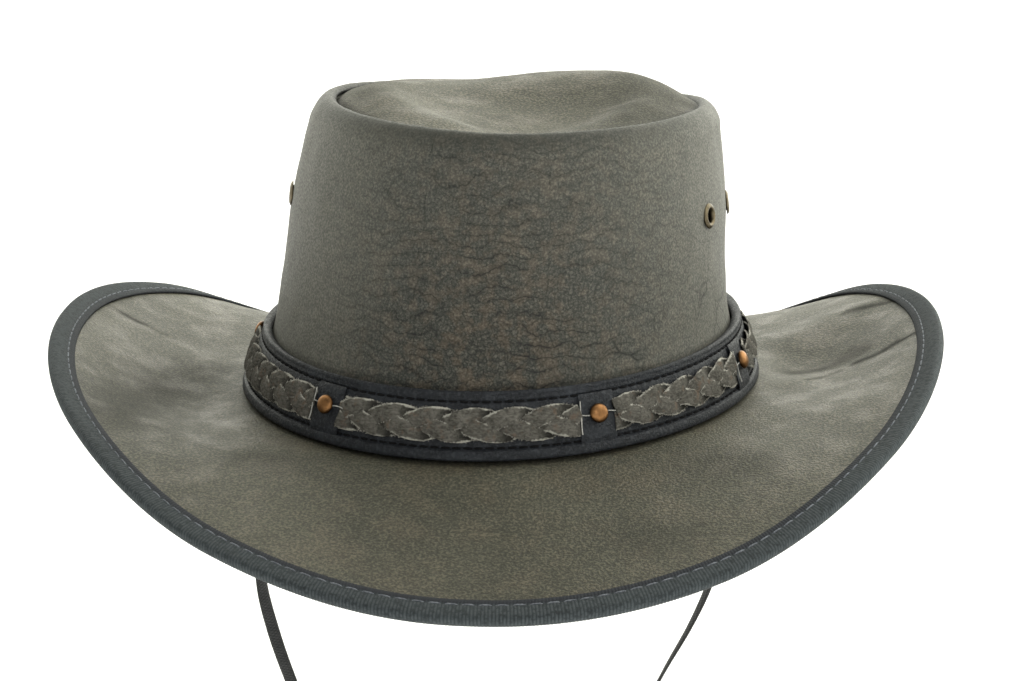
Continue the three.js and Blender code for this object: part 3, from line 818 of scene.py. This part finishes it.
brim = table(
    wide=314.6, long=362, square=2.16, shift=0.8, rise=22,
    edge=[-1.468, -1.077, .064, .927, .605, -.909, -1.909, -1.064, .468, 1.009, .391, -.773],
    out=[0, .11, .28, .48, .67, .84, 1], side=[0, 0, -.03, .09, .36, .69, 1],
    front=[0, .03, .22, .45, .66, .83, 1],
    # folds: angle, spread, height, and how far out their middle and reach lie
    folds=[(57, 9, -1, .45, .45), (73, 8, .9, .45, .45), (287, 11, -1.9, .5, .4), (264, 9, 1.2, .4, .4),
           (113, 6, 2.5, .5, .4), (99, 6, -2.6, .4, .27), (86, 5, 1.7, .25, .15), (93, 3, -1.1, .75, .2)],
    steps=640, rows=64, waves=0.35, creases=0.12, blur=2.2,
    # dark soft streaks in the leather, and wide soft painted shade such as a fold's shadow and the darker
    # left side: angle and share out at each end, width in mm, depth
    streaks=[(-99, .93, -101, .73, 1.7, .9), (-101, .73, -102, .62, 2.4, .35), (108, .94, 112, .72, 2.6, .8),
             (91, .93, 92, .82, 2.3, 1), (92, .8, 92, .6, 3, .9), (97, .62, 95, .3, 7, .6),
             (90, .5, 87, .35, 2, .5), (-39, .36, -41, .4, 9, .3), (41, .42, 48, .5, 12, .25),
             (24, .7, 29, .75, 10, .25), (-62, .78, -80, .5, 20, .5), (-80, .5, -92, .35, 14, .4)],
)
tape = table(wide=7.8, thick=1.0, off=0.12)
edgeRise = roundCurve([brim.rise * up for up in brim.edge])
sideAt, frontAt = tableCurve(brim.out, brim.side), tableCurve(brim.out, brim.front)


def powerWave(value):
    return np.sign(value) * np.abs(value) ** (2 / brim.square)


def brimFrame(angle):
    edge = hat.gap + tape.thick
    start = columns(hat.headWide / 2 * sine(angle), -hat.headLong / 2 * cosine(angle))
    end = columns((brim.wide / 2 - edge) * powerWave(sine(angle)) - brim.shift,
                  -(brim.long / 2 - edge) * powerWave(cosine(angle)))
    length = np.linalg.norm(end - start, axis=-1)
    return start, length, (end - start) / length[:, None]


def brimUp(angle, share):
    turn = np.mod(angle, 360)
    side = sine(angle) ** 2
    row = side * sideAt(share) + (1 - side) * frontAt(share)
    fold = sum(up * np.exp(-((turn - at) / spread) ** 2 - ((share - middle) / reach) ** 2)
               for at, spread, up, middle, reach in brim.folds)
    wave = unit((share - 0.11) / 0.17) * unit((0.97 - share) / 0.2)
    return seamHeight(angle) + row * (edgeRise(angle) - seamHeight(angle)) + fold * wave


def brimSkin(angle, share, off):  # a place over the brim's top; a share over 1 runs on past its edge
    start, length, step = brimFrame(angle)
    small = 0.01
    inside = unit(share)
    low, high = unit(inside - small), unit(inside + small)
    run, rise = (high - low) * length, brimUp(angle, high) - brimUp(angle, low)
    size = np.hypot(run, rise)
    run, rise = run / size, rise / size
    past = (share - inside) * length
    out = inside * length + past * run - off * rise
    up = brimUp(angle, inside) + past * rise + off * run
    flat = start + step * out[:, None]
    return columns(flat[:, 0], flat[:, 1], up)


def streakMask(at):
    mask = np.zeros(len(at))
    for a0, s0, a1, s1, wide, deep in brim.streaks:
        ends = brimSkin(np.array([a0, a1], float), np.array([s0, s1]), 0)
        way = ends[1] - ends[0]
        t = unit(((at - ends[0]) @ way) / (way @ way))
        far = np.linalg.norm(at - ends[0] - t[:, None] * way, axis=1)
        mask = np.maximum(mask, deep * hump(far, wide))
    return mask


def makeBrim():
    rows = brim.rows
    bm, angle, through, share = spun(shell, [rows - 1, 1, rows - 1, 1], brim.steps)
    base = brimSkin(angle, share, 0 * share)
    calm = unit(share / 0.1) * unit((1 - share) / 0.1)
    off = calm * (brim.waves * ripple(base, 40, 8) + brim.creases * ripple(base, 8, 9))
    place(bm, brimSkin(angle, share, off - hat.leather * through))
    # darkens the brim: real streaks, and painted shade in the wide soft ones
    streak = streakMask(base + brim.blur * ripple(base, 7, 10)[:, None])
    piece = newPiece("brim_leather", bm, brimLeather, streak=streak)
    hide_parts("brim")


makeBrim()
print("brim made")


# ribbed tape over the brim's edge, with its running stitch

binding = table(
    rib=1.15, ribHigh=0.15, stitch=5.5, stitchLong=4.2, stitchIn=2.5, stitchRadius=0.27, proud=0.12, dip=0.4,
    groove=0.25,
)


def edgeShare(angle, inward):  # share out at a distance inward from the leather's edge
    _, length, _ = brimFrame(angle)
    step = 0.02
    rim = np.ones_like(angle)
    return 1 - inward * step / np.hypot(length * step, brimUp(angle, rim) - brimUp(angle, rim - step))


def tapePoint(angle, inward, off):
    return brimSkin(angle, edgeShare(angle, inward), off)


def makeBinding():
    wide, thick, off = tape.wide, tape.thick, tape.off
    under = -hat.leather
    _, _, (run, turned) = evenAngles(lambda a: tapePoint(a, 0 * a, 0 * a), 1)
    ribs = round(run[-1] / binding.rib / 16) * 16
    high = thick + off
    low = under - high
    line, groove = wide - binding.stitchIn, binding.groove
    loop = [
        (wide, off), (0, off), (-off, off * 0.4), (-off, under - off * 0.4), (0, under - off),
        (wide, under - off), (wide + 0.1, under - off - thick * 0.5),
        (wide - 0.1, under - off - thick * 0.92),
        (line + 0.8, low), (line, low + groove), (line - 0.8, low), (0.9, low), (-0.55, low + 0.3),
        (-high, under), (-high - 0.12, under / 2), (-high, 0), (-0.55, high - 0.3),
        (0.9, high), (line - 0.8, high), (line, high - groove), (line + 0.8, high),
        (wide - 0.1, off + thick * 0.92), (wide + 0.1, off + thick * 0.5),
    ]
    bm, turn, inward, b = spun(loop, [0] * len(loop), ribs * 4, start=100.0)
    column = np.rint((turn + 180) / 360 * ribs * 4).astype(int)
    angle = np.interp((turn + 180) / 360 * run[-1], run, turned)
    outer = (b > high * 0.4) | (b < under - high * 0.4) | (inward < -off * 2)
    rib = np.array([0, 0.7, 1, 0.7])[column % 4]
    lift = binding.ribHigh * rib * outer
    over = np.clip((b - under / 2) / (high - under / 2), -1, 1)
    ribbed = inward - lift * (1 - np.abs(over)) + 0.2 * rib * (inward > wide - 0.05)
    place(bm, tapePoint(angle, ribbed, b + lift * over))
    # painted shade on the strip between the stitches and the inner edge, strongest at the front
    front = 0.45 + 0.5 * unit(cosine(angle) + 0.4)
    edge = np.maximum(unit((inward - line + 0.1) / 0.5) * outer * front, inward > wide)
    uv = columns(run[-1] * (turn + 180) / 360, inward) * mm
    piece = newPiece("brim_binding_tape", bm, bindingTape, uv, edge=edge, rib=rib)
    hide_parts("brim_binding")

    spread = np.linspace(-0.5, 0.5, 5)
    paths = []
    count = round(run[-1] / binding.stitch)
    for side in (1, -1):
        for i in range(count):
            middle = (i + 0.5 * (side < 0)) * run[-1] / count
            angles = np.interp(np.mod(middle + spread * binding.stitchLong, run[-1]), run, turned)
            lift = high - 0.5 * groove + binding.proud - binding.dip * (np.abs(spread) > 0.45)
            off = lift if side > 0 else under - lift
            paths.append(tapePoint(angles, line + 0 * angles, off))
    piece = threads("brim_binding_stitches", paths, binding.stitchRadius, bindingThread)


makeBinding()
print("binding made")


# hatband

band = table(
    slant=7.8, high=21.8, thick=2.5, bead=1.3, steps=480, waves=0.18,
    stitch=3.7, stitchLong=2.6, stitchRadius=0.36, lowStitch=4.3, highStitch=3.5,
)
bandLong = math.hypot(band.slant, band.high)
bandFoot = (2.2 + band.thick, 1.2)
bandAlong = (-band.slant / bandLong, band.high / bandLong)
bandMiddle = bandLong / 2 + 0.2


def bandPoint(angle, along, off):  # a place up the band's face and off it
    out = bandFoot[0] + bandAlong[0] * along + bandAlong[1] * off
    up = bandFoot[1] + bandAlong[1] * along - bandAlong[0] * off + seamHeight(angle)
    return crownPoint(angle, out, up)


def makeHatband():
    top, thick, bead = bandLong, band.thick, band.bead
    low, high = band.lowStitch, top - band.highStitch
    loop = [(0.3, -thick), (top - 0.4, -thick), (top, -thick * 0.4), (top + 0.05, 0.3), (top - 0.4, 0.7),
            (top - 1.0, 0.75), (top - 1.7, 0.5), (high + 0.6, 0.35), (high, -0.3), (high - 0.6, 0.3),
            (high - 1.4, 0.35), (low + 1.4, 0.35), (low + 0.6, 0.3), (low, -0.3), (low - 0.6, 0.4),
            (low - 1.2, 0.95), (low - 2.0, bead * 0.8), (low - 3.1, bead * 0.75), (0.35, bead * 0.5), (0, 0)]
    cuts = [1, 1, 0, 2, 2, 2, 2, 2, 1, 1, 6, 1, 1, 1, 2, 2, 2, 2, 1, 1]
    bm, angle, off, along = spun([(b, a) for a, b in loop], cuts, band.steps, start=100.0)
    wave = band.waves * ripple(crownPoint(angle, 0 * off, along), 16, 11) * (off > -0.5)
    place(bm, bandPoint(angle, along, off + wave))
    piece = newPiece("hatband_leather", bm, bandLeather)
    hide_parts("hatband")

    paths = []
    spread = np.linspace(-0.5, 0.5, 4)
    for along in (low, high):
        angles, pitch, (run, turned) = evenAngles(lambda a: bandPoint(a, along, 0 * a), band.stitch)
        for i in range(len(angles)):
            at = np.interp(np.mod(i * pitch + spread * band.stitchLong, run[-1]), run, turned)
            paths.append(bandPoint(at, along + 0 * at, 0.2 - 0.4 * (np.abs(spread) > 0.45)))
    piece = threads("hatband_stitches", paths, band.stitchRadius, bandThread)


makeHatband()
print("hatband made")


# braids, three flat strands each, between the keepers

keepers = table(at=[-36.2, 25.7, 73, 133, 199, 262], wide=13.6, high=16.6, thick=2.1, studUp=0.8)
braid = table(
    wide=11.8, strand=5.9, thick=0.75, weave=0.85, sway=2.95, lobe=13.4, low=1.6, around=16,
    fibres=2.0,  # a mm, along each edge of each strand
)
middleLine = evenAngles(lambda a: bandPoint(a, bandMiddle + 0 * a, 1 + 0 * a), 1)[2]


def bandRun(angle):  # distance round the band at an angle
    turns = np.floor((angle + 180) / 360)
    return turns * middleLine[0][-1] + np.interp(angle - 360 * turns, middleLine[1], middleLine[0])


def bandTurn(run):
    turns = np.floor(run / middleLine[0][-1])
    return np.interp(run - turns * middleLine[0][-1], middleLine[0], middleLine[1])


def roughAlong(run, size, seed):
    return np.array([noise.noise(Vector((r / size, seed * 7.7, 0.5))) for r in run])


def strandTurn(index, strand, period, s):
    return fullTurn * (s / period + strand / 3 + 0.07 * index)


def strandSpot(index, strand, start, end, period, s, share, over):
    # A place on a strand: s along the braid, share across it from -1 to 1, and over its middle
    theta = strandTurn(index, strand, period, s)
    slope = np.cos(theta) * braid.sway * fullTurn / period
    size = np.hypot(1, slope)
    half = braid.strand / 2 * (1 + 0.05 * roughAlong(s, 1.3, strand + 3 * index))
    across = share * half
    side = np.sin(theta) * braid.sway + across / size
    side = np.clip(side, -braid.wide / 2, braid.wide / 2)
    # the outer edge of each strand lifts where it comes out over its neighbour
    lift = braid.weave * np.sin(2 * theta) - 0.4 * share ** 2
    along = np.clip(start + s - across * slope / size, start - 0.6, end + 0.5)
    return bandPoint(bandTurn(along), bandMiddle + side, braid.low + lift + over)


def makeBraid(index):
    at = keepers.at
    half = keepers.wide / 2
    start = bandRun(at[index]) + half - 0.6
    end = bandRun(at[index + 1] if index < 5 else at[0] + 360) - half + 0.4
    period = (end - start) / (round((end - start) / braid.lobe) + 0.35) * 3
    joined = bmesh.new()
    for key in ("edge", "under"):
        joined.verts.layers.float.new(key)
    fuzz = []
    for strand in range(3):
        rows = int((end - start) / 0.5)
        bm = bmesh.new()
        bmesh.ops.create_grid(bm, x_segments=rows, y_segments=braid.around, size=0.5)
        grid = spots(bm)
        s, turn = (grid[:, 0] + 0.5) * (end - start), (grid[:, 1] + 0.5) * fullTurn
        share = np.sign(np.cos(turn)) * np.abs(np.cos(turn)) ** 0.5
        over = np.sign(np.sin(turn)) * np.abs(np.sin(turn)) ** 0.6 * braid.thick / 2
        place(bm, strandSpot(index, strand, start, end, period, s, share, over))
        # the outer edge has pale wear in places, and painted shade darkens the strand where it dives under
        theta = strandTurn(index, strand, period, s)
        outer = 0.5 + 0.5 * np.sin(theta) * np.sign(share)
        patchy = roughAlong(s + 40 * np.sign(share), 2.5, strand + 3 * index + 0.5)
        paleMark = np.abs(share) * (0.87 + 0.12 * outer + 0.3 * patchy)
        for key, values in (("edge", paleMark), ("under", unit(-1.2 * np.sin(2 * theta)))):
            layer = bm.verts.layers.float.new(key)
            for vert, value in zip(bm.verts, values):
                vert[layer] = value
        bmesh.ops.remove_doubles(bm, verts=bm.verts, dist=1e-6)
        fillHoles(bm)
        mesh = meshOf("strand", bm)
        joined.from_mesh(mesh)
        bpy.data.meshes.remove(mesh)
        # frayed fibres along both edges
        count = int((end - start) * braid.fibres)
        for side in (-1, 1):
            s = np.sort(dice.uniform(0, end - start, count))
            reach = dice.uniform(0.03, 0.2, count) * side
            drift = dice.uniform(-0.35, 0.35, count)
            root = strandSpot(index, strand, start, end, period, s, side * np.ones(count) * 0.97, 0.1)
            tip = strandSpot(index, strand, start, end, period, s + drift, side * 0.97 + reach, 0.25 + 0 * s)
            fuzz += [(a, (a + b) / 2 + (0, 0, 0.05), b) for a, b in zip(root, tip)]
    piece = newPiece(f"braid_{index + 1}_suede", joined, suede)
    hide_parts(f"braid_{index + 1}")
    fibres = threads(f"braid_{index + 1}_fibres", fuzz, 0.09, fibre, caps=False, sides=0)
    # the pale cut end by the next keeper, and the lacing thread that runs over the keeper
    up = np.linspace(-0.47, 0.47, 9) * braid.wide
    cut = bandPoint(bandTurn(np.full(9, end + 0.1)), bandMiddle + up, braid.low + 0.75 + 0.12 * np.cos(up))
    run = np.linspace(-9.6, 9.6, 25)
    middle = bandRun(at[(index + 1) % 6])
    high = keepers.thick + 0.12 - 0.35 * (np.abs(run) > 9.3)
    sway = 0.35 * np.sin(run * 0.55 + index)
    across = bandPoint(bandTurn(middle + run), bandMiddle + keepers.studUp + sway, high)
    piece = threads(f"braid_{index + 1}_thread", [cut, across], 0.2, paleThread)


dice = np.random.default_rng(7)
for index in range(6):
    makeBraid(index)
print("braids made")


# keepers and rivets

rivets = table(
    radius=3.3, high=2.0, steps=40,
    section=[(0, 0), (.94, 0), (1, .12), (.98, .3), (.86, .6), (.66, .82), (.4, .95), (.18, .995), (0, 1)],
)


def turnedPiece(bm, middle, out):  # from the lathe's own frame onto the hat, in mm
    turn = out.to_track_quat("Z", "Y").to_matrix().to_4x4()
    bmesh.ops.transform(bm, matrix=Matrix.Scale(mm, 4) @ Matrix.Translation(middle) @ turn, verts=bm.verts)


def makeKeeper(index):
    middle = bandRun(keepers.at[index])
    bm = bmesh.new()
    bmesh.ops.create_grid(bm, x_segments=30, y_segments=36, size=0.5)
    grid = spots(bm)
    x, y = grid[:, 0], grid[:, 1]
    along = middle + x * (keepers.wide - 0.6)
    up = bandMiddle + y * (keepers.high - 0.6)
    bend = 1 - np.abs(2 * y) ** 8
    off = 0.95 + (keepers.thick - 1.45) * bend * (1 - 0.35 * np.abs(2 * x) ** 6)
    place(bm, bandPoint(bandTurn(along), up, off))
    bmesh.ops.solidify(bm, geom=bm.verts[:] + bm.edges[:] + bm.faces[:], thickness=0.9 * mm)
    piece = newPiece(f"keeper_{index + 1}_leather", bm, bandLeather)
    bevel = piece.modifiers.new("soft edges", "BEVEL")
    bevel.width, bevel.segments, bevel.limit_method = 0.3 * mm, 2, "ANGLE"
    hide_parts(f"keeper_{index + 1}")


def makeRivet(index):
    angle, up = np.array([keepers.at[index]], float), np.array([bandMiddle + keepers.studUp])
    lift = keepers.thick + 0.3
    middle = bandPoint(angle, up, lift)[0]
    out = Vector(bandPoint(angle, up, lift + 1)[0] - middle).normalized()
    section = [(r * rivets.radius, h * rivets.high) for r, h in rivets.section]
    bm = lathe(section, [0, 0, 1, 1, 1, 1, 1, 0], False, rivets.steps)
    bmesh.ops.remove_doubles(bm, verts=bm.verts, dist=1e-4)
    at = spots(bm)
    edge = unit((np.hypot(at[:, 0], at[:, 1]) / rivets.radius - 0.8) / 0.2)
    turnedPiece(bm, Vector(middle), out)
    piece = newPiece(f"rivet_{index + 1}_copper", bm, copper, edge=edge)
    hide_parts(f"rivet_{index + 1}")


for index in range(6):
    makeKeeper(index)
    makeRivet(index)
print("keepers and rivets made")


# eyelets

def makeEyelet(key):
    middle, out = eyeletSpot(eyelets.at[key])
    hole, barrel, flange = eyelets.hole, eyelets.barrel, eyelets.flange
    back = -hat.leather - 0.5
    section = [
        (hole, back - 0.6), (hole, 0.5), (hole + 0.3, 0.95), (hole + 0.9, 1.15), (flange - 1.3, 0.95),
        (flange - 0.75, 0.65), (flange - 0.55, 0.3), (barrel, 0.2), (barrel, back),
        (flange - 0.5, back), (flange - 0.5, back - 0.6),
    ]
    bm = lathe(section, [3, 1, 1, 1, 1, 1, 1, 3, 1, 0, 1], True, eyelets.steps)
    at = spots(bm)
    # painted shade down the bore
    edge = (np.hypot(at[:, 0], at[:, 1]) < barrel) * unit(0.6 - at[:, 2])
    turnedPiece(bm, middle, out)
    piece = newPiece(f"eyelet_{key}_brass", bm, brass, edge=edge)
    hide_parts(f"eyelet_{key}")


for key in eyelets.at:
    makeEyelet(key)
for name in ("strap_tab_left", "strap_tab_right"):
    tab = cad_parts[name] if hasattr(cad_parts[name], "data") else bpy.data.objects[name]
    tab.data.materials.clear()
    tab.data.materials.append(bandLeather)
print("eyelets and strap tabs made")


# floor

stage = table(radius=14, low=-0.3, colour=(0.9, 0.9, 0.9, 1), glow=0.45)


def makeFloor():
    bm = bmesh.new()
    bmesh.ops.create_circle(bm, cap_ends=True, segments=96, radius=stage.radius)
    bmesh.ops.translate(bm, vec=(0, 0, stage.low), verts=bm.verts)
    f = Finish("floor", Roughness=0.9, Base_Color=stage.colour)
    f.shader.inputs["Emission Color"].default_value = (1, 1, 1, 1)
    f.shader.inputs["Emission Strength"].default_value = stage.glow
    floor = added("floor", meshOf("floor", bm))
    floor.data.materials.append(f.material)


makeFloor()
print("scene made")
